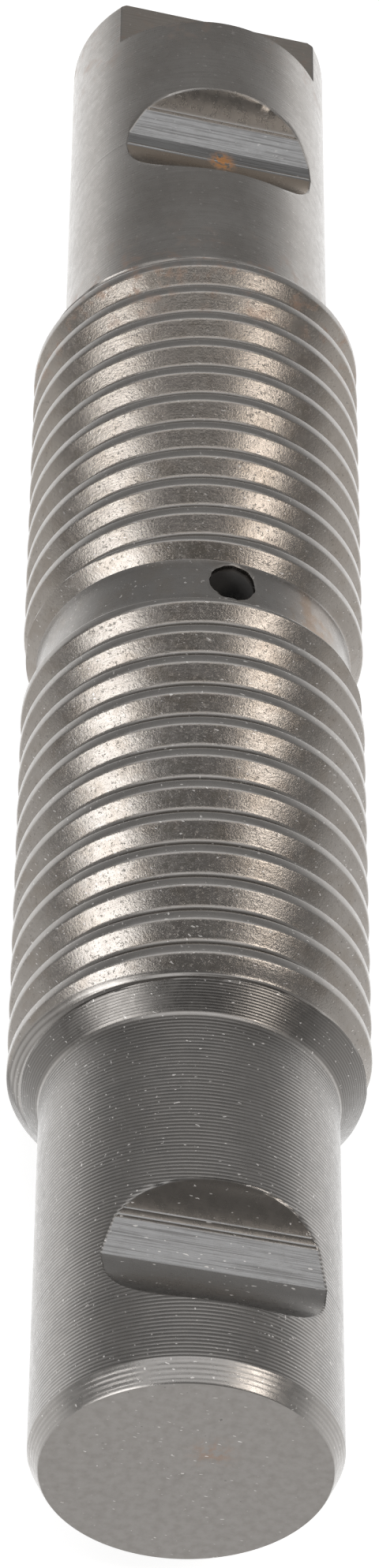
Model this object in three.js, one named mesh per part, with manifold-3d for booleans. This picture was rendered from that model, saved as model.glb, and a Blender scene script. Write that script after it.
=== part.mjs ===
// Threaded leaf-spring pin with a grease fitting in its far end.
//
// Millimetres, +Z up. The pin lies along Y: its blank near end faces -Y and the end
// with the wrench flats and the grease fitting faces +Y. It rests on the crests of its
// thread at Z = 0, and the origin is under the middle of its length. The bolt notches
// and the grease outlet all face +Z.
//
// Along the pin, places are given as stations: the distance from the near end face.

import * as THREE from 'three';
import { mergeVertices } from 'three/addons/utils/BufferGeometryUtils.js';
import Module from 'manifold-3d';

const wasm = await Module();
wasm.setup();

// ---- driving dimensions -------------------------------------------------------------

const INCH = 25.4;

// Plain ends: 1 1/8 in shank.
const PIN_LENGTH = 196.5;
const SHANK_RADIUS = 1.125 * INCH / 2;
const NEAR_CHAMFER_LENGTH = 2.14;
const NEAR_FACE_RADIUS = 13.33;
const FAR_EDGE_BREAK = 0.5;

// Thread: 1 3/8 in, 6 turns to the inch, right hand, flat crests and 45 degree flanks.
const THREAD_RADIUS = 1.375 * INCH / 2;
const THREAD_PITCH = INCH / 6;
const CREST_WIDTH = 0.95;
const ROOT_FLAT = 0.45;
const ROOT_RADIUS = THREAD_RADIUS - (THREAD_PITCH - CREST_WIDTH - ROOT_FLAT) / 2;
// Station of the first groove where it crosses the top of the pin.
const GROOVE_STATION = 41.04;
const GROOVE_TURNS = 27;
const LEAD_IN_TURNS = 1;

// Threaded length. Each shoulder has its station at the full thread radius, the run of
// its cone down to the shank, and the fillet at the cone's foot.
const NEAR_SHOULDER = { station: 45.70, run: 3.81, fillet: 0.9 };
const FAR_SHOULDER = { station: 145.70, run: THREAD_RADIUS - SHANK_RADIUS, fillet: 1.7 };
const FILLET_STEPS = 3;

// Turned neck that carries the grease outlet.
const NECK_RADIUS = 16.07;
const NECK_START = 95.30;
const NECK_END = 100.74;
const NECK_CHAMFER = THREAD_RADIUS - NECK_RADIUS;

// Round-bottomed notches across the top of the shank for the pinch bolts. A flat facet
// runs from each notch's deepest line towards the far end.
const NOTCH_STATIONS = [15.5, 170.9];
const NOTCH_BOTTOM = 9.6;
const NOTCH_RADIUS = 7.4;
const NOTCH_FACET = 3.6;
const NOTCH_ARC_STEPS = 8;

// Two parallel wrench flats at the far end.
const FLATS_START = 189.7;
const FLAT_HEIGHT = (11 / 16) * INCH / 2;

// Grease passages: a blind axial drilling and one radial outlet in the neck.
const GREASE_BORE_RADIUS = 2.5;
const GREASE_BORE_END = 96.6;
const DRILL_POINT = 1.5;
const OUTLET_RADIUS = (3 / 16) * INCH / 2;
const SEAT_RADIUS = 5.5;
const SEAT_DEPTH = 1.5;
const FITTING_HOLE_RADIUS = 3.3;
const FITTING_HOLE_DEPTH = 8.5;

// Grease fitting, with heights measured outwards from the spot-faced seat.
const GAP = 0.3;
const FITTING_SHANK_RADIUS = FITTING_HOLE_RADIUS - GAP;
const FITTING_SHANK_END = -7.2;
const HEX_ACROSS_FLATS = (5 / 16) * INCH;
const HEX_TOP = 3.5;
const NOZZLE_NECK_RADIUS = 2.35;
const NOZZLE_HEAD_RADIUS = 3.2;
const NOZZLE_TIP_RADIUS = 1.9;
const NOZZLE_TOP = 7.9;
const INLET_RADIUS = 0.8;
const CHAMBER_RADIUS = 1.6;
const CHAMBER_TOP = 6.4;
const SEAT_CONE_TOP = 7.1;
const CHAMBER_BOTTOM = -6.6;
const STAKED_RADIUS = 0.9;

// Check ball and its spring.
const BALL_RADIUS = (3 / 32) * INCH / 2;
const BALL_HEIGHT = 5.0;
const SPRING_MEAN_RADIUS = 1.0;
const SPRING_WIRE_RADIUS = 0.16;
const SPRING_TURNS = 7;
const SPRING_BOTTOM = -6.1;

// Facets around. The circles are drawn as polygons around the true circle, with a
// facet straight up and one straight down.
const PIN_FACETS = 24;
const FITTING_FACETS = 18;
const HOLE_FACETS = 16;
const SPRING_SECTION_SIDES = 6;
const SPRING_STEPS_PER_TURN = 10;

// ---- helpers ------------------------------------------------------------------------

const totalLength = PIN_LENGTH - SEAT_DEPTH + NOZZLE_TOP;
const nearFaceY = -totalLength / 2;
const seatY = nearFaceY + PIN_LENGTH - SEAT_DEPTH;
const around = (facets) => 1 / Math.cos(Math.PI / facets);

const colours = {
  machinedSteel: { color: 0x6f6d69, roughness: 0.38, metalness: 1.0 },
  platedSteel: { color: 0xb9b7ae, roughness: 0.3, metalness: 1.0 },
  ballSteel: { color: 0xc4c6c9, roughness: 0.12, metalness: 1.0 },
  springSteel: { color: 0x8b8c8e, roughness: 0.3, metalness: 1.0 },
};

function toSolid(geometry) {
  const bare = geometry.clone();
  bare.deleteAttribute('normal');
  bare.deleteAttribute('uv');
  const merged = mergeVertices(bare, 1e-5);
  return new wasm.Manifold(new wasm.Mesh({
    numProp: 3,
    vertProperties: new Float32Array(merged.attributes.position.array),
    triVerts: new Uint32Array(merged.index.array),
  }));
}

function toGeometry(solid) {
  const mesh = solid.getMesh();
  const geometry = new THREE.BufferGeometry();
  geometry.setAttribute('position', new THREE.BufferAttribute(mesh.vertProperties, 3));
  geometry.setIndex(new THREE.BufferAttribute(mesh.triVerts, 1));
  geometry.computeVertexNormals();
  return geometry;
}

// A turned solid about the Y axis. The outline runs from the axis back to the axis,
// as [radius, height] pairs with rising heights.
function turned(outline, facets) {
  const scale = around(facets);
  const points = outline.map(([radius, y]) => new THREE.Vector2(radius * scale, y));
  return new THREE.LatheGeometry(points, facets, Math.PI / facets);
}

// A plain cylinder from one point to another.
function rod(radius, from, to, facets) {
  const length = from.distanceTo(to);
  const scaled = radius * around(facets);
  const geometry = new THREE.CylinderGeometry(scaled, scaled, length, facets);
  const along = new THREE.Vector3().subVectors(to, from).normalize();
  const turn = new THREE.Quaternion().setFromUnitVectors(new THREE.Vector3(0, 1, 0), along);
  geometry.applyQuaternion(turn);
  const middle = new THREE.Vector3().addVectors(from, to).multiplyScalar(0.5);
  return geometry.translate(middle.x, middle.y, middle.z);
}

function named(name, geometry, finish) {
  const mesh = new THREE.Mesh(geometry, new THREE.MeshStandardMaterial(finish));
  mesh.name = name;
  return mesh;
}

// ---- threaded pin -------------------------------------------------------------------

// The fillet between the shank and a shoulder's cone, as [radius, rise] pairs from the
// shank outwards. The rise is measured along the pin, towards the thread, from the
// corner that the fillet rounds off.
function filletPoints({ run, fillet }) {
  const slope = Math.atan2(THREAD_RADIUS - SHANK_RADIUS, run);
  const start = -fillet * Math.tan(slope / 2);
  const points = [];
  for (let step = 0; step <= FILLET_STEPS; step += 1) {
    const angle = slope * (step / FILLET_STEPS);
    const radius = SHANK_RADIUS + fillet * (1 - Math.cos(angle));
    points.push([radius, start + fillet * Math.sin(angle)]);
  }
  return points;
}

function pinOutline() {
  const nearCorner = NEAR_SHOULDER.station - NEAR_SHOULDER.run;
  const farCorner = FAR_SHOULDER.station + FAR_SHOULDER.run;
  const nearFillet = filletPoints(NEAR_SHOULDER);
  const farFillet = filletPoints(FAR_SHOULDER).reverse();
  return [
    [0, 0],
    [NEAR_FACE_RADIUS, 0],
    [SHANK_RADIUS, NEAR_CHAMFER_LENGTH],
    ...nearFillet.map(([radius, rise]) => [radius, nearCorner + rise]),
    [THREAD_RADIUS, NEAR_SHOULDER.station],
    [THREAD_RADIUS, NECK_START - NECK_CHAMFER],
    [NECK_RADIUS, NECK_START],
    [NECK_RADIUS, NECK_END],
    [THREAD_RADIUS, NECK_END + NECK_CHAMFER],
    [THREAD_RADIUS, FAR_SHOULDER.station],
    ...farFillet.map(([radius, rise]) => [radius, farCorner - rise]),
    [SHANK_RADIUS, PIN_LENGTH - FAR_EDGE_BREAK],
    [SHANK_RADIUS - FAR_EDGE_BREAK, PIN_LENGTH],
    [0, PIN_LENGTH],
  ];
}

// The solid that the threading tool sweeps: a V with a flat tip, on a right-hand helix.
// Seen from the near end, station grows as the angle turns clockwise from the top.
function threadGroove() {
  const scale = around(PIN_FACETS);
  const outside = THREAD_RADIUS + 1;
  const mouth = ROOT_FLAT / 2 + (outside - ROOT_RADIUS);
  const section = [
    [ROOT_RADIUS, ROOT_FLAT / 2],
    [outside, mouth],
    [outside, -mouth],
    [ROOT_RADIUS, -ROOT_FLAT / 2],
  ];
  const sides = section.length;
  const steps = GROOVE_TURNS * PIN_FACETS;
  const positions = [];
  for (let step = 0; step <= steps; step += 1) {
    const turn = (step + 0.5) / PIN_FACETS;
    const angle = turn * 2 * Math.PI;
    const centre = GROOVE_STATION + (turn - LEAD_IN_TURNS) * THREAD_PITCH;
    for (const [radius, along] of section) {
      positions.push(
        radius * scale * Math.sin(angle),
        centre + along,
        radius * scale * Math.cos(angle),
      );
    }
  }
  const index = [];
  for (let step = 0; step < steps; step += 1) {
    for (let side = 0; side < sides; side += 1) {
      const a = step * sides + side;
      const b = step * sides + (side + 1) % sides;
      index.push(a, b, a + sides, b, b + sides, a + sides);
    }
  }
  const last = steps * sides;
  index.push(0, 2, 1, 0, 3, 2);
  index.push(last, last + 1, last + 2, last, last + 2, last + 3);
  const geometry = new THREE.BufferGeometry();
  geometry.setAttribute('position', new THREE.Float32BufferAttribute(positions, 3));
  geometry.setIndex(index);
  return geometry;
}

// The cutter for a bolt notch: its section is drawn along the pin and upwards, and is
// swept straight across.
function boltNotch(station) {
  const middle = NOTCH_BOTTOM + NOTCH_RADIUS;
  const facetTurn = Math.asin(NOTCH_FACET / NOTCH_RADIUS);
  const down = -Math.PI / 2;
  const shape = new THREE.Shape();
  shape.moveTo(station, NOTCH_BOTTOM);
  shape.absarc(station, middle, NOTCH_RADIUS, down + facetTurn, 0, false);
  shape.absarc(station, middle, NOTCH_RADIUS, -Math.PI, down, false);
  const width = 4 * SHANK_RADIUS;
  const geometry = new THREE.ExtrudeGeometry(shape, {
    depth: width,
    bevelEnabled: false,
    curveSegments: NOTCH_ARC_STEPS,
  });
  geometry.translate(0, 0, -width / 2);
  const axes = new THREE.Matrix4().makeBasis(
    new THREE.Vector3(0, 1, 0),
    new THREE.Vector3(0, 0, 1),
    new THREE.Vector3(1, 0, 0),
  );
  return geometry.applyMatrix4(axes);
}

function wrenchFlatCutter(side) {
  const length = PIN_LENGTH - FLATS_START + 1;
  const depth = SHANK_RADIUS;
  const geometry = new THREE.BoxGeometry(4 * SHANK_RADIUS, length, depth);
  return geometry.translate(0, FLATS_START + length / 2, side * (FLAT_HEIGHT + depth / 2));
}

// The axial drilling, the hole for the fitting and its spot-faced seat, as one tool.
function greaseDrilling() {
  const seat = PIN_LENGTH - SEAT_DEPTH;
  const holeEnd = seat - FITTING_HOLE_DEPTH;
  return turned([
    [0, GREASE_BORE_END - DRILL_POINT],
    [GREASE_BORE_RADIUS, GREASE_BORE_END],
    [GREASE_BORE_RADIUS, holeEnd],
    [FITTING_HOLE_RADIUS, holeEnd],
    [FITTING_HOLE_RADIUS, seat],
    [SEAT_RADIUS, seat],
    [SEAT_RADIUS, PIN_LENGTH + 1],
    [0, PIN_LENGTH + 1],
  ], HOLE_FACETS);
}

function threadedPin() {
  const outletStation = (NECK_START + NECK_END) / 2;
  const outlet = rod(
    OUTLET_RADIUS,
    new THREE.Vector3(0, outletStation, 0),
    new THREE.Vector3(0, outletStation, THREAD_RADIUS + 1),
    HOLE_FACETS,
  );
  let solid = toSolid(turned(pinOutline(), PIN_FACETS));
  solid = solid.subtract(toSolid(threadGroove()));
  for (const station of NOTCH_STATIONS) solid = solid.subtract(toSolid(boltNotch(station)));
  for (const side of [1, -1]) solid = solid.subtract(toSolid(wrenchFlatCutter(side)));
  solid = solid.subtract(toSolid(greaseDrilling()));
  solid = solid.subtract(toSolid(outlet));
  const mesh = named('threaded_pin', toGeometry(solid), colours.machinedSteel);
  mesh.position.set(0, nearFaceY, 0);
  return mesh;
}

// ---- grease fitting -----------------------------------------------------------------

function greaseFitting() {
  const outside = turned([
    [0, FITTING_SHANK_END],
    [FITTING_SHANK_RADIUS, FITTING_SHANK_END],
    [FITTING_SHANK_RADIUS, HEX_TOP - GAP],
    [NOZZLE_NECK_RADIUS, HEX_TOP],
    [NOZZLE_NECK_RADIUS, HEX_TOP + 1.2],
    [NOZZLE_HEAD_RADIUS, HEX_TOP + 2.1],
    [NOZZLE_HEAD_RADIUS, HEX_TOP + 2.9],
    [NOZZLE_TIP_RADIUS, NOZZLE_TOP],
    [0, NOZZLE_TOP],
  ], FITTING_FACETS);
  const inside = turned([
    [0, FITTING_SHANK_END - 1],
    [STAKED_RADIUS, FITTING_SHANK_END - 1],
    [STAKED_RADIUS, CHAMBER_BOTTOM],
    [CHAMBER_RADIUS, CHAMBER_BOTTOM],
    [CHAMBER_RADIUS, CHAMBER_TOP],
    [INLET_RADIUS, SEAT_CONE_TOP],
    [INLET_RADIUS, NOZZLE_TOP + 1],
    [0, NOZZLE_TOP + 1],
  ], FITTING_FACETS);
  const hexRadius = (HEX_ACROSS_FLATS / 2) * around(6);
  const hex = new THREE.CylinderGeometry(hexRadius, hexRadius, HEX_TOP - GAP, 6);
  hex.translate(0, (HEX_TOP + GAP) / 2, 0);
  const solid = toSolid(outside).add(toSolid(hex)).subtract(toSolid(inside));
  return named('grease_fitting', toGeometry(solid), colours.platedSteel);
}

function checkBall() {
  const geometry = new THREE.SphereGeometry(BALL_RADIUS, 16, 12);
  const mesh = named('check_ball', geometry, colours.ballSteel);
  mesh.position.y = BALL_HEIGHT;
  return mesh;
}

class Coil extends THREE.Curve {
  constructor(radius, bottom, top, turns) {
    super();
    Object.assign(this, { radius, bottom, top, turns });
  }

  getPoint(t, target = new THREE.Vector3()) {
    const angle = t * this.turns * 2 * Math.PI;
    const y = THREE.MathUtils.lerp(this.bottom, this.top, t);
    return target.set(this.radius * Math.cos(angle), y, this.radius * Math.sin(angle));
  }
}

function checkSpring() {
  // The top turn stops where its wire just clears the ball.
  const reach = BALL_RADIUS + SPRING_WIRE_RADIUS + GAP / 3;
  const drop = Math.sqrt(reach ** 2 - SPRING_MEAN_RADIUS ** 2);
  const path = new Coil(SPRING_MEAN_RADIUS, SPRING_BOTTOM, BALL_HEIGHT - drop, SPRING_TURNS);
  const section = new THREE.Shape();
  section.absarc(0, 0, SPRING_WIRE_RADIUS, 0, 2 * Math.PI);
  const geometry = new THREE.ExtrudeGeometry(section, {
    steps: SPRING_STEPS_PER_TURN * SPRING_TURNS,
    curveSegments: SPRING_SECTION_SIDES / 2,
    extrudePath: path,
  });
  return named('check_spring', geometry, colours.springSteel);
}

// ---- assembly -----------------------------------------------------------------------

const fittingGroup = new THREE.Group();
fittingGroup.position.y = seatY;
fittingGroup.add(greaseFitting(), checkBall(), checkSpring());

const greasePin = new THREE.Group();
greasePin.position.z = THREAD_RADIUS;
greasePin.add(threadedPin(), fittingGroup);

export default greasePin;
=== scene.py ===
"""Looks of the threaded leaf-spring pin with its grease fitting. Blender 4.5.

The geometry is worked out in millimetres. A place on the pin is a station, the distance
from the near end face along +Y, and an angle from +Z towards +X. Finished meshes are in
metres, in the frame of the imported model.
"""

import math
from types import SimpleNamespace

import bmesh
import bpy
import numpy as np
from mathutils import Matrix, Vector


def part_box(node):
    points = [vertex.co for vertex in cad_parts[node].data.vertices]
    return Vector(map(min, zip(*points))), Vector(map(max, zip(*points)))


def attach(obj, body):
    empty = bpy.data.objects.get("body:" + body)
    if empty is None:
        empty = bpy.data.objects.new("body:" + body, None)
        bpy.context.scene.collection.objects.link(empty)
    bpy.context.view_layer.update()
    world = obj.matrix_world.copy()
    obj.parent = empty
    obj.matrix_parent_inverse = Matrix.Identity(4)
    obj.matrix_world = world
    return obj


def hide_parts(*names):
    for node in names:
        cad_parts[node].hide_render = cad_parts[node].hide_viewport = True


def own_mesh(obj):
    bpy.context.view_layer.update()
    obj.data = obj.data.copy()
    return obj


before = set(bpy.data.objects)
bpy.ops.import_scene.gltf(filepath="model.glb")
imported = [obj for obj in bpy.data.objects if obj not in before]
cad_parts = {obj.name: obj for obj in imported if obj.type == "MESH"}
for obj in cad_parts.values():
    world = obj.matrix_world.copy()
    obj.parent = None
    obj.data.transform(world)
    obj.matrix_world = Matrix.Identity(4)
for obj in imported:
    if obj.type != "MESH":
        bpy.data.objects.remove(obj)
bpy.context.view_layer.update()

# ---- the frame, in millimetres ------------------------------------------------------

MM = 0.001
INCH = 25.4

pin_low, pin_high = (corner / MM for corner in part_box("threaded_pin"))
ball_low, ball_high = (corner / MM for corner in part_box("check_ball"))
spring_low, spring_high = (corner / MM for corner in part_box("check_spring"))

NEAR_Y = pin_low.y
PIN_LENGTH = pin_high.y - pin_low.y
AXIS_Z = (pin_low.z + pin_high.z) / 2
THREAD_RADIUS = (pin_high.z - pin_low.z) / 2

# ---- dimensions of the pin ----------------------------------------------------------

SHANK_RADIUS = 1.125 * INCH / 2
CHAMFER_LENGTH = 2.14
FACE_RADIUS = 13.33
FACE_EDGE_BREAK = 0.09
FACE_DISH = 0.05
FAR_EDGE_BREAK = 0.5
THREAD_PITCH = INCH / 6
CREST_WIDTH = 0.95
ROOT_FLAT = 0.45
ROOT_RADIUS = THREAD_RADIUS - (THREAD_PITCH - CREST_WIDTH - ROOT_FLAT) / 2
GROOVE_STATION = 41.04
NEAR_SHOULDER = 45.70
NEAR_CONE_LENGTH = 3.81
NEAR_CORNER = NEAR_SHOULDER - NEAR_CONE_LENGTH
NEAR_FILLET = 0.9
FAR_SHOULDER = 145.70
FAR_CORNER = FAR_SHOULDER + THREAD_RADIUS - SHANK_RADIUS
FAR_FILLET = 1.7
NECK_RADIUS = 16.07
NECK_START = 95.30
NECK_END = 100.74
NECK_CHAMFER = THREAD_RADIUS - NECK_RADIUS
FLATS_START = 189.7
FLAT_HEIGHT = (11 / 16) * INCH / 2
NOTCH_BOTTOM = 9.6

# Round-bottomed notches for the pinch bolts. Facets run along the floor between the
# given distances from the deepest line, marks are thin raised lines, and rows gives the
# stations between which the mesh follows the notch.
NOTCH_RADIUS = 7.4
NOTCH_MIDDLE = NOTCH_BOTTOM + NOTCH_RADIUS
NEAR_NOTCH = {"station": 15.5, "facets": [0, 3.6], "marks": [3.85, 4.4], "rows": (7.4, 24.0)}
FAR_NOTCH = {"station": 170.9, "facets": [0, 1.8, 4.6], "marks": [0.25, 4.85],
             "rows": (163.2, 179.2)}
NOTCH_ARC_ROWS = 10
NOTCH_END_ROWS = 5
NOTCH_WALL_TURNS = (44, 50, 56, 62, 68, 75)
CREASE = 0.05
MARK_WIDTH = 0.07
MARK_HEIGHT = 0.045
NOTCH_TIP = math.degrees(math.acos(NOTCH_BOTTOM / SHANK_RADIUS))
FLAT_EDGE = math.degrees(math.acos(FLAT_HEIGHT / SHANK_RADIUS))
LIP = 0.14

# Coarse tool marks, as first station, last station, pitch and height.
TURNING_RIDGES = [
    (0.15, CHAMFER_LENGTH - 0.1, 0.43, 0.009),
    (FAR_SHOULDER + 0.3, FAR_CORNER, 0.52, 0.012),
]

# Passages: spot face, hole for the fitting, axial drilling and radial outlet.
SPOT_RADIUS = 5.5
SPOT_DEPTH = 1.5
SPOT_EDGE_BREAK = 0.12
SPOT_CORNER = 0.15
FITTING_HOLE_BREAK = 0.35
FITTING_HOLE_RADIUS = 3.3
FITTING_HOLE_DEPTH = 8.5
BORE_RADIUS = 2.5
OUTLET_RADIUS = (3 / 16) * INCH / 2
OUTLET_STATION = (NECK_START + NECK_END) / 2
OUTLET_DEPTHS = (1.2, 2.5, 5.0, 8.0, 11.0)
OUTLET_EDGE_DEPTH = 0.35

# Mesh density: columns in each quarter turn, between the notch tips and flat edges.
QUARTER_COLUMNS = [(0, NOTCH_TIP, 25), (NOTCH_TIP, FLAT_EDGE, 3), (FLAT_EDGE, 90, 20)]
COLUMNS = 4 * sum(count for _, _, count in QUARTER_COLUMNS)
FINE_STEP = 0.12
FINE_BEFORE_CONE = 0.6
FINE_PAST_CONE = 0.8
FINE_OVER_THREAD = 0.45
OUTLET_HALF_COLUMNS = 7
NECK_ROWS = 10

# Places in one pitch of the thread that get a row of vertices, from the groove's centre.
FLANK_TOP = (THREAD_PITCH - CREST_WIDTH) / 2
EDGE_ROUND = 0.14
ROOT_ROUND = 0.16
ROOT_CORNER = ROOT_FLAT / 2
HALF_PITCH_ROWS = [ROOT_CORNER - ROOT_ROUND, ROOT_CORNER, ROOT_CORNER + ROOT_ROUND,
                   FLANK_TOP - EDGE_ROUND, FLANK_TOP, FLANK_TOP + EDGE_ROUND]
PITCH_ROWS = HALF_PITCH_ROWS + [THREAD_PITCH - place for place in HALF_PITCH_ROWS[::-1]]

# ---- small helpers ------------------------------------------------------------------


def steps(start, stop, count):
    """Evenly spaced places, or rows of places, from start up to but not including stop."""
    return [start + (stop - start) * k / count for k in range(count)]


def arc_corner(before, corner, after, radius, count=4):
    """Points of an arc that rounds off a corner of an outline."""
    p, c, q = (np.array(point, float) for point in (before, corner, after))
    u = (p - c) / np.linalg.norm(p - c)
    v = (q - c) / np.linalg.norm(q - c)
    half = math.acos(max(-1.0, min(1.0, float(u @ v)))) / 2
    reach = radius / math.tan(half)
    centre = c + (u + v) / np.linalg.norm(u + v) * radius / math.sin(half)
    first, last = c + u * reach - centre, c + v * reach - centre
    turn = math.acos(max(-1.0, min(1.0, float(first @ last) / radius**2)))
    points = []
    for k in range(count + 1):
        t = k / count
        blend = (first * math.sin((1 - t) * turn) + last * math.sin(t * turn)) / math.sin(turn)
        points.append(tuple(centre + blend))
    return points


def rounded(outline):
    """An outline whose points may carry a corner radius, as a list of plain points."""
    points = []
    for k, point in enumerate(outline):
        if len(point) == 2:
            points.append(point)
        else:
            points += arc_corner(outline[k - 1][:2], point[:2], outline[k + 1][:2], point[2])
    return points


def smooth_min(a, b, width):
    """The lower of two values, with the crease between them rounded over width."""
    mix = np.clip(0.5 + 0.5 * (b - a) / width, 0, 1)
    return b + (a - b) * mix - width * mix * (1 - mix)


def wobble(angle, waves):
    """A fixed ragged line round a circle, from (turns, size, phase) waves."""
    return sum(size * np.sin(turns * angle + phase) for turns, size, phase in waves)


class MeshBuilder:
    """Collects rings of points and the faces between them, in millimetres."""

    def __init__(self):
        self.points = []
        self.faces = []

    def ring(self, points):
        start = len(self.points)
        self.points += [tuple(point) for point in points]
        return list(range(start, len(self.points)))

    def bridge(self, first, second):
        """Faces between two rings with the same number of points."""
        count = len(first)
        for k in range(count):
            n = (k + 1) % count
            self.faces.append((first[k], second[k], second[n]))
            self.faces.append((first[k], second[n], first[n]))

    def reduce(self, first, second):
        """Faces between a ring and a coarser one whose count divides the first's."""
        share = len(first) // len(second)
        for k, inner in enumerate(second):
            following = second[(k + 1) % len(second)]
            corners = [first[(k * share + m) % len(first)] for m in range(share + 1)]
            for m in range(share):
                self.faces.append((inner, corners[m + 1], corners[m]))
            self.faces.append((inner, following, corners[share]))

    def cap(self, ring, centre):
        middle = len(self.points)
        self.points.append(tuple(centre))
        for k, point in enumerate(ring):
            self.faces.append((point, ring[(k + 1) % len(ring)], middle))

    def object(self, name, sharp_degrees=30):
        mesh = bpy.data.meshes.new(name)
        mesh.from_pydata([Vector(point) * MM for point in self.points], [], self.faces)
        clean(mesh)
        mesh.shade_smooth()
        mesh.set_sharp_from_angle(angle=math.radians(sharp_degrees))
        made = bpy.data.objects.new(name, mesh)
        bpy.context.scene.collection.objects.link(made)
        return made


def clean(mesh):
    """Merges coincident points, drops empty faces and turns every face outwards."""
    work = bmesh.new()
    work.from_mesh(mesh)
    bmesh.ops.remove_doubles(work, verts=work.verts, dist=1e-6)
    bmesh.ops.dissolve_degenerate(work, edges=work.edges, dist=1e-7)
    bmesh.ops.triangulate(work, faces=work.faces)
    bmesh.ops.recalc_face_normals(work, faces=work.faces)
    work.to_mesh(mesh)
    work.free()


# ---- threaded pin -------------------------------------------------------------------


def column_angles():
    """Angles of the columns round the pin, with one on every notch tip and flat edge."""
    quarter = []
    for start, stop, count in QUARTER_COLUMNS:
        quarter += steps(start, stop, count)
    there = [180 - angle for angle in quarter[:0:-1] + [0.0]]
    half = quarter + [90.0] + there[:-1]
    full = half + [180 + angle for angle in half]
    return np.radians(np.array(full))


def pin_outline():
    """The turned shape before threading, as (station, radius) points. A third number
    rounds the corner off."""
    return rounded([
        (0.0, FACE_RADIUS - FACE_EDGE_BREAK),
        (FACE_EDGE_BREAK, FACE_RADIUS),
        (CHAMFER_LENGTH, SHANK_RADIUS, 0.35),
        (NEAR_CORNER, SHANK_RADIUS, NEAR_FILLET),
        (NEAR_SHOULDER, THREAD_RADIUS, 0.25),
        (NECK_START - NECK_CHAMFER, THREAD_RADIUS, 0.2),
        (NECK_START, NECK_RADIUS, 0.2),
        (NECK_END, NECK_RADIUS, 0.2),
        (NECK_END + NECK_CHAMFER, THREAD_RADIUS, 0.2),
        (FAR_SHOULDER, THREAD_RADIUS, 0.25),
        (FAR_CORNER, SHANK_RADIUS, FAR_FILLET),
        (PIN_LENGTH - FAR_EDGE_BREAK, SHANK_RADIUS, 0.4),
        (PIN_LENGTH, SHANK_RADIUS - FAR_EDGE_BREAK),
    ])


def turning_ridges(station):
    """Height of the tool marks on the near chamfer and on the far shoulder."""
    ridges = 0.0
    for start, stop, pitch, height in TURNING_RIDGES:
        inside = (station > start) & (station < stop)
        ridges = ridges + np.where(inside, height * np.cos(2 * math.pi * station / pitch), 0)
    return ridges


def thread_radius(station, angle):
    """Radius of the threaded surface: a right-hand groove with a flat root, 45 degree
    flanks and flat crests."""
    along = station - GROOVE_STATION - THREAD_PITCH * angle / (2 * math.pi)
    from_groove = np.abs((along + THREAD_PITCH / 2) % THREAD_PITCH - THREAD_PITCH / 2)
    rise = -smooth_min(ROOT_CORNER - from_groove, np.zeros_like(from_groove), ROOT_ROUND)
    crest = np.full_like(rise, THREAD_RADIUS)
    return smooth_min(ROOT_RADIUS + rise, crest, EDGE_ROUND)


def notch_floor(notch, along):
    """Height above the axis of a notch's surface, at distances from its deepest line."""
    arc = NOTCH_MIDDLE - np.sqrt(np.maximum(NOTCH_RADIUS**2 - along**2, 0))
    ends = np.array(notch["facets"], float)
    heights = NOTCH_MIDDLE - np.sqrt(NOTCH_RADIUS**2 - ends**2)
    return np.maximum(arc, np.interp(along, ends, heights, left=0, right=0))


def notch_marks(notch, along):
    """Height of the thin lines along a notch, at distances from its deepest line."""
    return sum(MARK_HEIGHT * np.exp(-((along - mark) / MARK_WIDTH) ** 2)
               for mark in notch["marks"])


def notch_rows(notch, angles):
    """Stations of the rows over a notch. They follow its lips, and close up to a single
    line past its tips."""
    base = notch["station"]
    start, stop = notch["rows"]
    top = np.maximum(SHANK_RADIUS * np.cos(angles), NOTCH_BOTTOM)
    reach = np.arccos((NOTCH_MIDDLE - top) / NOTCH_RADIUS)
    near_lip = -NOTCH_RADIUS * np.sin(reach)
    places = np.linspace(0, NOTCH_RADIUS, 400)
    far_lip = np.interp(top, notch_floor(notch, places), places)
    lip = LIP * np.minimum(1, reach * 3)
    near_edge, far_edge = near_lip + lip * 0.6, far_lip - lip * 0.6
    rows = steps(start - base, near_lip - lip, NOTCH_END_ROWS) + [near_lip - lip]
    for k in range(NOTCH_ARC_ROWS):
        turn = -reach * (1 - k / NOTCH_ARC_ROWS)
        rows.append(np.maximum(NOTCH_RADIUS * np.sin(turn), near_edge))
    for place in notch_lines(notch):
        rows.append(np.clip(place, -CREASE, np.maximum(far_edge, 0)))
    rows += steps(far_lip + lip, stop - base, NOTCH_END_ROWS)
    return [row + base for row in rows]


def notch_lines(notch):
    """Distances from the deepest line that get a row on the notch's far side."""
    lines = []
    for end in notch["facets"]:
        lines += [end - CREASE, end, end + CREASE]
    for mark in notch["marks"]:
        lines += [mark + side * MARK_WIDTH for side in (-2, -1, 0, 1, 2)]
    wall = [NOTCH_RADIUS * math.sin(math.radians(turn)) for turn in NOTCH_WALL_TURNS]
    return sorted(lines + wall)


def thread_rows(start, stop, angles):
    """Stations of the rows that wind along with the thread between two stations."""
    per_pitch = len(PITCH_ROWS)
    shift = np.round(per_pitch * angles / (2 * math.pi)).astype(int)
    rise = THREAD_PITCH * angles / (2 * math.pi)
    first = int(per_pitch * ((start - GROOVE_STATION) / THREAD_PITCH - 1))
    last = int(per_pitch * ((stop - GROOVE_STATION) / THREAD_PITCH + 1))
    places = np.array(PITCH_ROWS)
    rows = []
    for row in range(first, last + 1):
        number = row - shift
        station = GROOVE_STATION + THREAD_PITCH * (number // per_pitch) + rise
        station = station + places[number % per_pitch]
        if station.max() > start and station.min() < stop:
            rows.append(np.clip(station, start, stop))
    return rows


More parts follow.
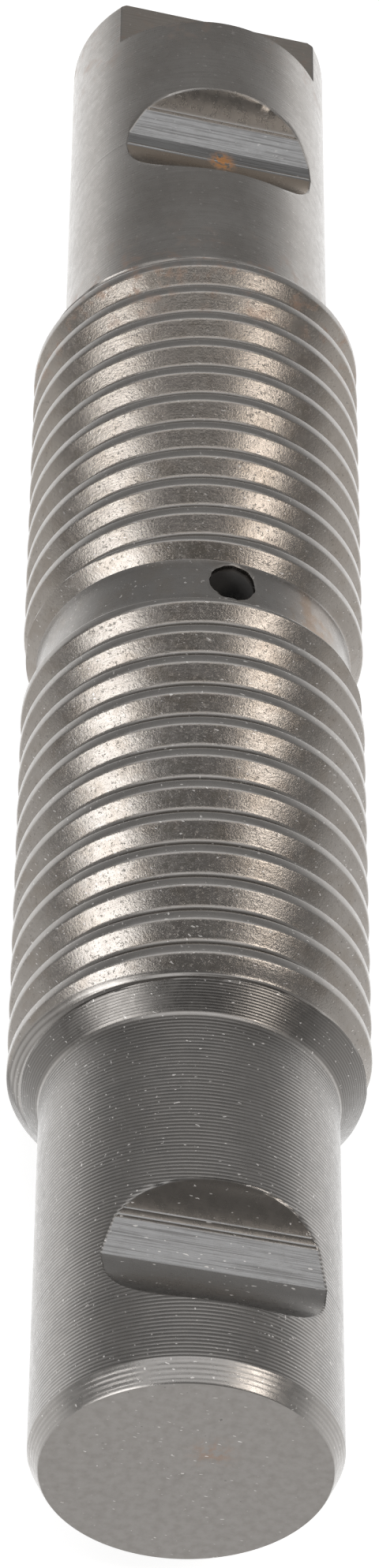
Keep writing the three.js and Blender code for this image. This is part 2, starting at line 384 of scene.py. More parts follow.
def pin_rows(angles):
    """Every row of the outside as stations per column, and where the neck's rows and
    the flats' first row are."""

    def level(places):
        return [np.full_like(angles, place) for place in places]

    def even(start, stop, count):
        return level(steps(start, stop, count))

    def fine(start, stop):
        return even(start, stop, max(1, round((stop - start) / FINE_STEP)))

    near_start = NEAR_CORNER - FINE_BEFORE_CONE
    far_end = FAR_CORNER + FINE_PAST_CONE
    thread_start = NEAR_SHOULDER + FINE_OVER_THREAD
    before_neck = NECK_START - NECK_CHAMFER - FINE_OVER_THREAD
    after_neck = NECK_END + NECK_CHAMFER + FINE_OVER_THREAD
    thread_end = FAR_SHOULDER - FINE_OVER_THREAD
    edge_start = PIN_LENGTH - 2 * FAR_EDGE_BREAK

    rows = fine(0.0, CHAMFER_LENGTH + 0.3)
    rows += even(CHAMFER_LENGTH + 0.3, NEAR_NOTCH["rows"][0], 4)
    rows += notch_rows(NEAR_NOTCH, angles)
    rows += even(NEAR_NOTCH["rows"][1], near_start, 12)
    rows += fine(near_start, thread_start)
    rows += thread_rows(thread_start, before_neck, angles)
    rows += fine(before_neck, NECK_START + 0.1)
    neck = len(rows)
    rows += even(NECK_START + 0.1, NECK_END - 0.1, NECK_ROWS)
    rows += fine(NECK_END - 0.1, after_neck)
    rows += thread_rows(after_neck, thread_end, angles)
    rows += fine(thread_end, far_end)
    rows += even(far_end, FAR_NOTCH["rows"][0], 8)
    rows += notch_rows(FAR_NOTCH, angles)
    rows += even(FAR_NOTCH["rows"][1], FLATS_START - 0.12, 8)
    rows += level([FLATS_START - 0.12])
    flats = len(rows)
    rows += level([FLATS_START, FLATS_START + 0.06])
    rows += even(FLATS_START + 0.9, edge_start, 5)
    rows += fine(edge_start, PIN_LENGTH)
    rows += level([PIN_LENGTH])
    return np.array(rows), neck, flats


def flat_angles(angles, radius):
    """Column angles slid along so that one stays on each flat's edge at this radius."""
    edge = np.degrees(np.arccos(np.clip(FLAT_HEIGHT / radius, -1, 1)))
    degrees = np.degrees(angles)
    folded = np.abs((degrees + 90) % 180 - 90)
    slid = np.where(
        folded <= FLAT_EDGE,
        folded * edge / FLAT_EDGE,
        90 - (90 - folded) * (90 - edge) / (90 - FLAT_EDGE),
    )
    sign = np.sign((degrees + 90) % 180 - 90)
    return np.radians(degrees - sign * folded + sign * slid)


def pin_surface(angles):
    """Positions of the outside's grid, and the number of the neck's first row."""
    stations, neck, flats = pin_rows(angles)
    outline = np.array(pin_outline())
    turns = np.tile(angles, (len(stations), 1))
    envelope = np.interp(stations, outline[:, 0], outline[:, 1]) + turning_ridges(stations)
    threaded = thread_radius(stations, turns)
    radius = np.minimum(envelope, threaded)
    for row in range(flats, len(stations)):
        turns[row] = flat_angles(turns[row], radius[row])
    x = radius * np.sin(turns)
    z = radius * np.cos(turns)
    for notch in (NEAR_NOTCH, FAR_NOTCH):
        along = stations - notch["station"]
        floor = notch_floor(notch, along) + notch_marks(notch, along)
        z = np.where(np.abs(along) < NOTCH_RADIUS, np.minimum(z, floor), z)
    z[flats:] = np.clip(z[flats:], -FLAT_HEIGHT, FLAT_HEIGHT)
    return np.stack([x, stations, z], axis=-1), neck


def add_outlet(builder, rows, neck, angles, bore_ring):
    """Replaces a patch of the neck by rings round the grease outlet, and leads its wall
    down to the axial drilling."""
    reach = OUTLET_HALF_COLUMNS
    columns = [k % COLUMNS for k in range(-reach, reach + 1)]
    low, high = neck, neck + NECK_ROWS
    loop = [(low, c) for c in columns]
    loop += [(row, columns[-1]) for row in range(low + 1, high)]
    loop += [(high, c) for c in columns[::-1]]
    loop += [(row, columns[0]) for row in range(high - 1, low, -1)]
    ring = [rows[row][column] for row, column in loop]
    places = []
    for index in ring:
        x, y, z = builder.points[index]
        places.append((math.atan2(x, z - AXIS_Z) * NECK_RADIUS, y - NEAR_Y - OUTLET_STATION))
    places = np.array(places)
    bearing = np.arctan2(places[:, 0], places[:, 1])
    ragged = OUTLET_RADIUS + wobble(bearing, [(3, 0.04, 0.4), (7, 0.04, 1.9), (11, 0.03, 0.3),
                                              (17, 0.02, 2.2)])
    rim = np.stack([np.sin(bearing) * ragged, np.cos(bearing) * ragged], axis=1)
    torn = 0.07 + wobble(bearing, [(5, 0.03, 1.1), (9, 0.03, 0.2)])
    outer = rim * 1.09
    for t in (0.45, 0.8, 1.0):
        spot = places + (outer - places) * t
        ring = lay_on_neck(builder, ring, spot, np.zeros(len(spot)))
    ring = lay_on_neck(builder, ring, rim, torn)
    ring = lay_on_neck(builder, ring, rim * 0.97, torn + OUTLET_EDGE_DEPTH)
    wall = np.stack([np.sin(bearing), np.cos(bearing)], axis=1) * OUTLET_RADIUS
    for depth in OUTLET_DEPTHS:
        ring = lay_on_neck(builder, ring, wall, np.full(len(wall), depth))
    join_outlet(builder, ring, bearing, bore_ring)


def lay_on_neck(builder, ring, spot, depth):
    """A ring of points over the neck at (across, along) places, sunk by depth."""
    across = spot[:, 0]
    angle = across / NECK_RADIUS
    on_top = np.stack([
        NECK_RADIUS * np.sin(angle),
        NEAR_Y + OUTLET_STATION + spot[:, 1],
        AXIS_Z + NECK_RADIUS * np.cos(angle) - depth,
    ], axis=1)
    following = builder.ring(on_top)
    builder.bridge(ring, following)
    return following


def join_outlet(builder, ring, bearing, bore_ring):
    """Bridges the outlet's last ring to the drilling's, each point to the one at the
    same bearing."""
    count = len(ring)
    start = int(np.argmin(np.abs(bearing)))
    turned = [ring[(start + k) % count] for k in range(count)]
    builder.bridge(turned, bore_ring)


def circle(radius, station, count, tilt=0.0):
    """Points round the pin's axis, turned over about X by tilt towards the outlet."""
    points = []
    for k in range(count):
        angle = 2 * math.pi * k / count
        x = radius * math.sin(angle)
        up = radius * math.cos(angle)
        y = up * math.sin(tilt)
        z = up * math.cos(tilt)
        points.append((x, NEAR_Y + station + y, AXIS_Z + z))
    return points


def build_pin():
    angles = column_angles()
    surface, neck = pin_surface(angles)
    builder = MeshBuilder()
    rows = []
    for row in surface:
        rows.append(builder.ring(row + np.array([0, NEAR_Y, AXIS_Z])))
    low, high = neck, neck + NECK_ROWS
    reach = OUTLET_HALF_COLUMNS
    for r in range(len(rows) - 1):
        for c in range(COLUMNS):
            signed = c if c < COLUMNS / 2 else c - COLUMNS
            if low <= r < high and -reach <= signed < reach:
                continue
            n = (c + 1) % COLUMNS
            first, second = rows[r], rows[r + 1]
            builder.faces.append((first[c], second[c], second[n]))
            builder.faces.append((first[c], second[n], first[n]))
    close_near_face(builder, rows[0])
    bore_ring = open_far_face(builder, rows[-1])
    add_outlet(builder, rows, neck, angles, bore_ring)
    return builder.object("pin_body", sharp_degrees=26)


def close_near_face(builder, ring):
    """The blank end face, with the faint dish that facing leaves."""
    outer = FACE_RADIUS - FACE_EDGE_BREAK
    for share in (0.94, 0.85, 0.74, 0.62, 0.5, 0.38, 0.26, 0.14):
        dish = FACE_DISH * (1 - share)
        following = builder.ring(circle_at_columns(outer * share, dish))
        builder.bridge(following, ring)
        ring = following
    builder.cap(ring, (0, NEAR_Y + FACE_DISH, AXIS_Z))


def circle_at_columns(radius, station):
    """Points round the pin's axis, one at each column."""
    angles = column_angles()
    x = radius * np.sin(angles)
    z = AXIS_Z + radius * np.cos(angles)
    return np.stack([x, np.full_like(x, NEAR_Y + station), z], axis=1)


def open_far_face(builder, ring):
    """The far face, its spot face, the fitting's hole and the drilling down to the
    elbow where the outlet meets it. Returns the last ring."""
    outer = np.array([builder.points[k] for k in ring])
    inner = circle_at_columns(SPOT_RADIUS + SPOT_EDGE_BREAK, PIN_LENGTH)
    for t in (0.15, 0.4, 0.7, 1.0):
        following = builder.ring(outer + (inner - outer) * t)
        builder.bridge(ring, following)
        ring = following
    floor = PIN_LENGTH - SPOT_DEPTH
    for radius, station in (
        (SPOT_RADIUS, PIN_LENGTH - SPOT_EDGE_BREAK),
        (SPOT_RADIUS, floor + SPOT_CORNER),
        (SPOT_RADIUS - SPOT_CORNER, floor),
        (FITTING_HOLE_RADIUS + FITTING_HOLE_BREAK, floor),
        (FITTING_HOLE_RADIUS, floor - FITTING_HOLE_BREAK),
    ):
        following = builder.ring(circle_at_columns(radius, station))
        builder.bridge(ring, following)
        ring = following
    count = 2 * (NECK_ROWS + 2 * OUTLET_HALF_COLUMNS)
    bottom = floor - FITTING_HOLE_DEPTH
    following = builder.ring(circle(FITTING_HOLE_RADIUS, bottom, count))
    builder.reduce(ring, following)
    ring = following
    for radius, station, tilt in (
        # The step from the fitting's hole, and the straight drilling.
        (BORE_RADIUS, bottom - 0.6, 0),
        (BORE_RADIUS, 150, 0),
        (BORE_RADIUS, OUTLET_STATION + BORE_RADIUS + 0.1, 0),
        # The elbow, a little wider.
        (BORE_RADIUS * 1.05, OUTLET_STATION + 1.4, -0.35),
        (BORE_RADIUS * 1.1, OUTLET_STATION + 0.4, -0.8),
    ):
        following = builder.ring(circle(radius, station, count, tilt))
        builder.bridge(ring, following)
        ring = following
    return ring


# ---- grease fitting, ball and spring ------------------------------------------------

FITTING_COLUMNS = 96
SEAT_Y = pin_high.y - SPOT_DEPTH
HEX_FLATS = (5 / 16) * INCH


def turn_about_axis(builder, outline, columns=FITTING_COLUMNS, limit=None):
    """A closed turned shape from (radius, height above the seat) points. The limit, if
    any, is a function of the angle that trims the radius."""
    rings = []
    for radius, height in outline:
        points = []
        for k in range(columns):
            angle = 2 * math.pi * k / columns
            reach = radius if limit is None else min(radius, limit(angle))
            points.append((reach * math.sin(angle), SEAT_Y + height,
                           AXIS_Z + reach * math.cos(angle)))
        rings.append(builder.ring(points))
    for first, second in zip(rings, rings[1:] + rings[:1]):
        builder.bridge(first, second)


def hexagon(angle):
    """Distance of the hexagon's side from the axis at this angle."""
    turn = (angle + math.pi / 6) % (math.pi / 3) - math.pi / 6
    return HEX_FLATS / 2 / math.cos(turn)


def build_fitting():
    """Hexagon, waisted nozzle with its coupler head, taper shank and the passage."""
    builder = MeshBuilder()
    corner = HEX_FLATS / 2 / math.cos(math.pi / 6)
    washer = HEX_FLATS / 2 - 0.15
    outline = rounded([
        # Shank in the pin's hole.
        (0.9, -7.2),
        (2.75, -7.2, 0.2),
        (3.0, -0.6, 0.3),
        (3.0, 0.02),
        # Hexagon, chamfered at both ends.
        (washer, 0.02, 0.1),
        (washer + 0.05, 0.35),
        (corner, 0.95),
        (corner, 2.55),
        (washer, 3.2),
        # Waisted nozzle with the coupler's head.
        (2.9, 3.3, 0.25),
        (2.35, 3.85, 0.3),
        (2.35, 4.7, 0.4),
        (3.2, 5.6, 0.25),
        (3.2, 6.4, 0.5),
        (1.9, 7.9, 0.35),
        # Inlet, the ball's conical seat and the spring's chamber.
        (0.8, 7.9, 0.12),
        (0.8, 7.1, 0.15),
        (1.6, 6.3, 0.2),
        (1.6, -6.4, 0.2),
        (0.9, -6.9),
    ])
    turn_about_axis(builder, outline, limit=hexagon)
    return builder.object("grease_fitting_body")


BALL_COLUMNS = 64
BALL_BANDS = 32


def build_ball():
    centre = (ball_low + ball_high) / 2
    radius = (ball_high.y - ball_low.y) / 2
    builder = MeshBuilder()
    rings = []
    for k in range(1, BALL_BANDS):
        tilt = math.pi * k / BALL_BANDS
        points = []
        for c in range(BALL_COLUMNS):
            angle = 2 * math.pi * c / BALL_COLUMNS
            points.append((
                centre.x + radius * math.sin(tilt) * math.sin(angle),
                centre.y - radius * math.cos(tilt),
                centre.z + radius * math.sin(tilt) * math.cos(angle),
            ))
        rings.append(builder.ring(points))
    for first, second in zip(rings, rings[1:]):
        builder.bridge(first, second)
    builder.cap(rings[0], (centre.x, centre.y - radius, centre.z))
    builder.cap(rings[-1], (centre.x, centre.y + radius, centre.z))
    return builder.object("check_ball_polished")


SPRING_TURNS = 7
SPRING_WIRE = 0.15
SPRING_RADIUS = 1.0


def build_spring():
    """A compression spring with closed end turns, wound from one wire."""
    steps_per_turn, sides = 36, 12
    total = steps_per_turn * SPRING_TURNS
    bottom = spring_low.y + SPRING_WIRE
    length = spring_high.y - SPRING_WIRE - bottom
    closed = 2.1 * SPRING_WIRE
    builder = MeshBuilder()
    rings = []
    for k in range(total + 1):
        turns = k / steps_per_turn
        middle = np.clip((turns - 1) / (SPRING_TURNS - 2), 0, 1)
        rise = closed * min(turns, 1) + (length - 2 * closed) * middle
        rise += closed * max(0, turns - (SPRING_TURNS - 1))
        angle = 2 * math.pi * turns
        out = Vector((math.cos(angle), 0, math.sin(angle)))
        points = []
        for s in range(sides):
            around = 2 * math.pi * s / sides
            offset = out * (SPRING_RADIUS + SPRING_WIRE * math.cos(around))
            y = bottom + rise + SPRING_WIRE * math.sin(around)
            points.append((offset.x, y, AXIS_Z + offset.z))
        rings.append(builder.ring(points))
    for first, second in zip(rings, rings[1:]):
        builder.bridge(first, second)
    for ring in (rings[0], rings[-1]):
        centre = np.mean([builder.points[k] for k in ring], axis=0)
        builder.cap(ring, centre)
    return builder.object("check_spring_coil")


# ---- materials ----------------------------------------------------------------------


class Shader:
    """A short way of writing node trees: every method returns an output socket."""

    def __init__(self, name):
        self.material = bpy.data.materials.new(name)
        self.material.use_nodes = True
        self.tree = self.material.node_tree
        self.surface = self.tree.nodes["Principled BSDF"]

    def node(self, kind, inputs=(), **settings):
        made = self.tree.nodes.new(kind)
        for key, value in settings.items():
            setattr(made, key, value)
        for key, value in dict(inputs).items():
            self.plug(made.inputs[key], value)
        return made

    def plug(self, socket, value):
        if isinstance(value, bpy.types.NodeSocket):
            self.tree.links.new(value, socket)
        else:
            socket.default_value = value

    def math(self, operation, a, b=0.0, clamp=False):
        made = self.node("ShaderNodeMath", {0: a, 1: b}, operation=operation, use_clamp=clamp)
        return made.outputs[0]

    def times(self, first, *others):
        """The product of several values."""
        for other in others:
            first = self.math("MULTIPLY", first, other)
        return first

    def without(self, value, other):
        """What is left of one mask outside another."""
        return self.math("SUBTRACT", value, other, clamp=True)

    def distance(self, place, point):
        inputs = {0: place, 1: point}
        return self.node("ShaderNodeVectorMath", inputs, operation="DISTANCE").outputs["Value"]

    def ramp(self, value, low, high, to_low=0.0, to_high=1.0):
        inputs = {"Value": value, "From Min": low, "From Max": high, "To Min": to_low,
                  "To Max": to_high}
        made = self.node("ShaderNodeMapRange", inputs, interpolation_type="SMOOTHSTEP")
        return made.outputs["Result"]

    def mix(self, factor, a, b):
        made = self.node("ShaderNodeMix", data_type="RGBA")
        self.plug(made.inputs["Factor"], factor)
        self.plug(made.inputs[6], a)
        self.plug(made.inputs[7], b)
        return made.outputs[2]

    def noise(self, vector, scale, detail=3.0, rough=0.55):
        inputs = {"Vector": vector, "Scale": scale, "Detail": detail, "Roughness": rough}
        return self.node("ShaderNodeTexNoise", inputs).outputs["Fac"]

    def stretched(self, vector, scale):
        inputs = {"Vector": vector, "Scale": scale}
        return self.node("ShaderNodeMapping", inputs).outputs["Vector"]

    def millimetres(self):
        """Place on the pin in millimetres: across, station, height above the axis."""
        place = self.node("ShaderNodeTexCoord").outputs["Object"]
        moved = self.node("ShaderNodeVectorMath", {0: place, 1: (0, NEAR_Y * MM, AXIS_Z * MM)},
                          operation="SUBTRACT").outputs[0]
        scaled = self.node("ShaderNodeVectorMath", {0: moved}, operation="SCALE")
        scaled.inputs["Scale"].default_value = 1 / MM
        return scaled.outputs[0]

    def bump(self, height, depth_mm, before=None):
        inputs = {"Height": height, "Distance": depth_mm * MM, "Strength": 1.0}
        made = self.node("ShaderNodeBump", inputs)
        if before is not None:
            self.plug(made.inputs["Normal"], before)
        return made.outputs["Normal"]


def grey(value, warmth=0.0):
    """A grey that leans to brown with positive warmth and to blue with negative."""
    return (value * (1 + warmth), value, value * (1 - warmth), 1.0)


FEED_PITCH = 0.41
CONE_FEED_PITCH = 0.21
RUST = (0.27, 0.13, 0.065, 1.0)
BRIGHT_RUST = (0.42, 0.20, 0.075, 1.0)
NECK_STAIN = (0.24, 0.17, 0.12, 1.0)
WALL_STAIN = (0.36, 0.29, 0.225, 1.0)
FACE_SMUDGE = (0.30, 0.19, 0.13, 1.0)

# Centres of single marks: across, station, height above the axis.
NECK_STAIN_PLACE = (9.5, OUTLET_STATION, NECK_RADIUS - 3.0)
RUST_SPOT_PLACE = (0.4, FAR_NOTCH["station"] + 0.1, NOTCH_BOTTOM)
FACE_SMUDGE_PLACE = (1.5, 0, 3.5)


def steel_regions(s, place):
    """The station and radius of a point, and masks for the parts of the pin's surface."""
    x, station, height = s.node("ShaderNodeSeparateXYZ", {0: place}).outputs
    radius = s.math("SQRT", s.math("ADD", s.times(x, x), s.times(height, height)))
    normal = s.node("ShaderNodeNewGeometry").outputs["True Normal"]
    along = s.node("ShaderNodeSeparateXYZ", {0: normal}).outputs["Y"]
    slope = s.math("ABSOLUTE", along)

    in_thread = s.times(s.ramp(station, NEAR_SHOULDER - 0.3, NEAR_SHOULDER),
                        s.ramp(station, FAR_SHOULDER, FAR_SHOULDER + 0.3, 1, 0))
    neck = s.times(s.ramp(station, NECK_START - 0.2, NECK_START),
                   s.ramp(station, NECK_END, NECK_END + 0.2, 1, 0))
    face = s.ramp(slope, 0.9, 0.98)
    unthreaded = s.without(s.without(1.0, in_thread), face)
    milled = s.times(s.ramp(radius, SHANK_RADIUS - 0.2, SHANK_RADIUS - 0.06, 1, 0),
                     s.ramp(station, CHAMFER_LENGTH + 0.3, CHAMFER_LENGTH + 0.8), unthreaded)
    far_wall = s.times(milled, s.ramp(along, -0.56, -0.47, 1, 0))
    facet = s.times(milled, s.without(s.ramp(along, -0.04, 0.04, 1, 0), far_wall))
    end_chamfer = s.times(s.ramp(station, CHAMFER_LENGTH - 0.1, CHAMFER_LENGTH + 0.2, 1, 0),
                          s.math("SUBTRACT", 1.0, face))

    cone_slope = (THREAD_RADIUS - SHANK_RADIUS) / NEAR_CONE_LENGTH
    cone_rise = s.times(s.math("SUBTRACT", station, NEAR_CORNER), cone_slope)
    off_cone = s.math("SUBTRACT", s.math("SUBTRACT", radius, SHANK_RADIUS), cone_rise)
    cone = s.times(s.ramp(radius, SHANK_RADIUS + 0.1, SHANK_RADIUS + 0.4),
                   s.ramp(s.math("ABSOLUTE", off_cone), 0.04, 0.12, 1, 0))

    return SimpleNamespace(
        station=station,
        flank=s.times(s.ramp(slope, 0.35, 0.55), in_thread),
        crest=s.times(s.ramp(radius, THREAD_RADIUS - 0.12, THREAD_RADIUS - 0.03), in_thread),
        neck=neck,
        # The wall inside the grease outlet's hole, which is painted dark as painted shade.
        outlet=s.times(neck, s.ramp(radius, NECK_RADIUS - 1.2, NECK_RADIUS - 0.3, 1, 0)),
        face=face,
        near_face=s.times(face, s.ramp(station, 1, 3, 1, 0)),
        near_end=s.ramp(station, NEAR_CORNER - 1, NEAR_CORNER + 0.5, 1, 0),
        end_chamfer=end_chamfer,
        milled=milled,
        facet=facet,
        far_wall=far_wall,
        near_wall=s.without(milled, s.math("MAXIMUM", facet, far_wall)),
        cone=cone,
        turned=s.without(unthreaded, milled),
    )


def steel_patterns(s, place):
    """Noise patterns laid over the whole pin."""
    across_lint = s.noise(s.stretched(place, (1.3, 3.2, 4.4)), 1.0, 1.5, 0.5)
    along_lint = s.noise(s.stretched(place, (2.6, 1.1, 2.6)), 1.0, 1.5, 0.5)
    coarse_pits = s.ramp(s.noise(place, 2.6, 4.0, 0.75), 0.585, 0.66)
    fine_pits = s.ramp(s.noise(place, 9.0, 2.0, 0.6), 0.64, 0.72)
    return SimpleNamespace(
        streaks=s.noise(s.stretched(place, (0.12, 5.0, 0.12)), 1.0, 4.0, 0.6),
        brushed=s.noise(s.stretched(place, (0.10, 6.5, 6.5)), 1.0, 4.0, 0.65),
        broad=s.noise(place, 0.16, 3.0, 0.5),
        mottle=s.noise(place, 1.1, 4.0, 0.55),
        grain=s.noise(place, 4.5, 3.0, 0.7),
        stains=s.ramp(s.noise(place, 0.33, 4.0, 0.6), 0.46, 0.66),
        pits=s.math("MAXIMUM", coarse_pits, fine_pits),
        lint=s.math("MAXIMUM", s.ramp(along_lint, 0.755, 0.78), s.ramp(across_lint, 0.715, 0.735)),
        patches=s.ramp(s.noise(place, 0.45, 5.0, 0.65), 0.50, 0.72),
        rust_edge=s.ramp(s.noise(place, 2.0, 3.0), 0.38, 0.55),
        smudge_edge=s.ramp(s.noise(place, 0.9, 4.0, 0.6), 0.42, 0.62),
        nicks=s.ramp(s.noise(place, 1.5, 2.0, 0.5), 0.73, 0.76),
    )


def feed_marks(s, at):
    """A wave from -1 to 1 along the turned places: coarse on the shank, finer and weaker
    on the near shoulder's cone, weak on the end chamfer and faint past the thread."""
    turned = s.times(at.turned, s.ramp(at.station, 50, 60, 1, 0.12),
                     s.ramp(at.end_chamfer, 0, 1, 1, 0.3))
    coarse = s.math("SINE", s.times(at.station, 2 * math.pi / FEED_PITCH))
    fine = s.math("SINE", s.times(at.station, 2 * math.pi / CONE_FEED_PITCH))
    wave = s.math("ADD", s.times(fine, 0.55, at.cone),
                  s.times(coarse, s.math("SUBTRACT", 1.0, at.cone)))
    return s.times(wave, turned)


def steel_marks(s, place, at, pattern):
    """Masks for what is on the steel: pits, lint, rust, stains and nicks."""
    from_far_shoulder = s.math("ABSOLUTE", s.math("SUBTRACT", at.station, FAR_SHOULDER))
    rusty = s.math("MAXIMUM", s.ramp(from_far_shoulder, 2, 12, 1, 0),
                   s.ramp(at.station, FLATS_START - 8, FLATS_START + 1, 0.0, 0.7))
    return SimpleNamespace(
        pits=s.times(pattern.pits, s.math("ADD", 0.14, s.times(at.flank, 0.40))),
        lint=s.times(pattern.lint, s.ramp(at.station, 60, 150, 0.8, 0.25)),
        rust=s.times(rusty, pattern.patches, 0.45),
        rust_spot=s.times(s.ramp(s.distance(place, RUST_SPOT_PLACE), 0.5, 2.0, 1, 0),
                          pattern.rust_edge),
        neck_stain=s.times(s.ramp(s.distance(place, NECK_STAIN_PLACE), 1.0, 6.0, 1, 0), at.neck,
                           s.ramp(pattern.stains, 0, 1, 0.25, 0.75)),
        wall_stain=s.times(at.near_wall, s.ramp(at.station, 100, 150, 0, 0.7)),
        smudge=s.times(s.ramp(s.distance(place, FACE_SMUDGE_PLACE), 0.3, 3.0, 0.55, 0.0),
                       at.near_face, pattern.smudge_edge),
        nicks=s.times(at.near_face, pattern.nicks),
    )


def steel_layers(s, at, pattern, marks, feed):
    """How much of which colour lies over the bare steel, from the bottom up, with painted
    highlight and shade among them.
    """
    face_steel = s.mix(s.ramp(pattern.mottle, 0.35, 0.7), grey(0.285, 0.055), grey(0.255, 0.065))
    return [
        (s.times(s.ramp(pattern.streaks, 0.35, 0.75), 0.5), grey(0.21, 0.07)),
        (s.times(at.crest, 0.75), grey(0.262, 0.05)),
        (s.times(at.neck, 0.6), grey(0.235, 0.04)),
        (s.times(at.near_end, s.ramp(pattern.stains, 0, 1, 0.5, 0.75)), grey(0.165, 0.045)),
        (at.end_chamfer, grey(0.275, 0.05)),
        (s.times(at.near_face, 0.8), face_steel),
        (s.times(at.milled, 0.9), grey(0.27, 0.04)),
        (at.facet, grey(0.28, 0.01)),
        (s.times(at.facet, s.ramp(pattern.brushed, 0.45, 0.65)), grey(0.17, 0.02)),
        (s.times(at.far_wall, 0.95), grey(0.20, 0.10)),
        (s.times(at.flank, s.ramp(at.station, 60, 140, 0.3, 0.75)), grey(0.25, 0.115)),
        (s.times(at.flank, pattern.stains, 0.5), grey(0.19, 0.15)),
        (s.times(at.neck, pattern.stains, 0.3), grey(0.20, 0.16)),
        (marks.pits, grey(0.09, 0.10)),
        (s.times(at.cone, 0.9), grey(0.125, 0.06)),
        # Light and dark stripes along the feed wave: painted highlight on the ridge tops and
        # painted shade in the grooves between them.
        (s.ramp(feed, 0.1, 1.0, 0.0, 0.34), grey(0.36, 0.03)),
        (s.ramp(feed, -1.0, -0.1, 0.45, 0.0), grey(0.09, 0.05)),
        (marks.neck_stain, NECK_STAIN),
        (marks.wall_stain, WALL_STAIN),
        (marks.rust, RUST),
        (marks.rust_spot, BRIGHT_RUST),
        (marks.smudge, FACE_SMUDGE),
        (s.times(marks.nicks, 0.5), grey(0.10, 0.05)),
        (marks.lint, grey(0.62, 0.04)),
        # Painted shade: the wall inside the grease outlet's hole is painted near black.
        (s.times(at.outlet, 0.9), grey(0.10, 0.02)),
    ]


def machined_steel():
    """Turned, threaded and hardened steel: feed marks on the turned places with painted
    highlight and shade along them, milled and brushed notches, stained flanks, rust tints
    near the far end, a little lint, and painted shade in the grease outlet's hole."""
    s = Shader("machined_steel_detailed")
    place = s.millimetres()
    at = steel_regions(s, place)
    pattern = steel_patterns(s, place)
    marks = steel_marks(s, place, at, pattern)
    feed = feed_marks(s, at)

    colour = s.mix(s.ramp(pattern.broad, 0.3, 0.7), grey(0.235, 0.07), grey(0.28, 0.055))
    for amount, paint in steel_layers(s, at, pattern, marks, feed):
        colour = s.mix(amount, colour, paint)
    s.plug(s.surface.inputs["Base Color"], colour)

    rust = s.math("MAXIMUM", marks.rust, marks.rust_spot)
    # Rust, lint and the outlet's hole are dull; for the hole this, with its extra roughness below,
    # is part of its painted shade.
    dull = s.math("MAXIMUM", s.math("MAXIMUM", rust, marks.lint), at.outlet)
    s.plug(s.surface.inputs["Metallic"], s.math("SUBTRACT", 1.0, s.times(dull, 0.7)))

    rough = s.ramp(pattern.mottle, 0.3, 0.75, 0.25, 0.34)
    for region, added in (
        (s.math("MAXIMUM", rust, at.outlet), 0.3),
        (at.face, 0.12),
        (at.facet, 0.06),
        (at.flank, -0.07),
    ):
        rough = s.math("ADD", rough, s.times(region, added))
    s.plug(s.surface.inputs["Roughness"], rough)

    bumped = None
    for height, depth in (
        (feed, 0.0110),
        (pattern.streaks, 0.010),
        (s.times(pattern.brushed, at.facet), 0.02),
        (pattern.mottle, 0.006),
        (s.times(pattern.grain, s.ramp(at.flank, 0, 1, 0.3, 1)), 0.022),
        (marks.pits, -0.014),
        (marks.nicks, -0.05),
    ):
        bumped = s.bump(height, depth, bumped)
    s.plug(s.surface.inputs["Normal"], bumped)
    return s.material


def bright_steel(name, colour, roughness, streak_depth):
    """Small bright parts: plated, ground or drawn steel with fine marks."""
    s = Shader(name)
    place = s.millimetres()
    cloud = s.noise(place, 1.1, 4.0, 0.6)
    marks = s.noise(s.stretched(place, (0.4, 9.0, 0.4)), 1.0, 3.0, 0.6)
    darker = tuple(channel * 0.72 for channel in colour[:3]) + (1.0,)
    s.plug(s.surface.inputs["Base Color"], s.mix(s.ramp(cloud, 0.35, 0.7), colour, darker))
    s.surface.inputs["Metallic"].default_value = 1.0
    s.plug(s.surface.inputs["Roughness"],
           s.ramp(marks, 0.3, 0.7, roughness * 0.75, roughness * 1.3))
    s.plug(s.surface.inputs["Normal"], s.bump(marks, streak_depth))
    return s.material


# ---- stage, lights and camera -------------------------------------------------------

# The pin lies turned a little about its own axis, so the camera's upright plane leans
# from +Z by this angle, towards -X.
VIEW_ROLL = math.radians(14.5)
UPRIGHT = Vector((-math.sin(VIEW_ROLL), 0, math.cos(VIEW_ROLL)))
SIDEWAYS = Vector((math.cos(VIEW_ROLL), 0, math.sin(VIEW_ROLL)))
ALONG = Vector((0, 1, 0))


def in_view_frame(along, upright, sideways):
    """A vector from its parts along the pin, upright and sideways in the picture."""
    return ALONG * along + UPRIGHT * upright + SIDEWAYS * sideways


# The camera, as (along, upright, sideways): its place from the near face's centre in
# millimetres, and the directions of its right and its top. The dark side of the room
# is a direction of the same kind.
CAMERA_PLACE = (-274.3, 378.4, 2.1)
CAMERA_RIGHT = (0.006555, 0, 0.99998)
CAMERA_TOP = (0.72527, 0.68845, -0.00475)
CAMERA_LENS = 119.09
DARK_SIDE = (-0.725, 0.688, 0)
FAR_SIDE_GAIN = 1.7


def make_camera():
    """Looks down along the pin from beyond its near end."""
    data = bpy.data.cameras.new("camera")
    data.sensor_width = 36
    data.lens = CAMERA_LENS
    data.clip_start = 0.05
    data.clip_end = 20
    camera = bpy.data.objects.new("camera", data)
    near_face = Vector((0, NEAR_Y, AXIS_Z)) * MM
    right = in_view_frame(*CAMERA_RIGHT)
    top = in_view_frame(*CAMERA_TOP)
    turn = Matrix((right, top, right.cross(top))).transposed()
    place = near_face + in_view_frame(*CAMERA_PLACE) * MM
    camera.matrix_world = Matrix.Translation(place) @ turn.to_4x4()
    bpy.context.scene.collection.objects.link(camera)
    bpy.context.scene.camera = camera


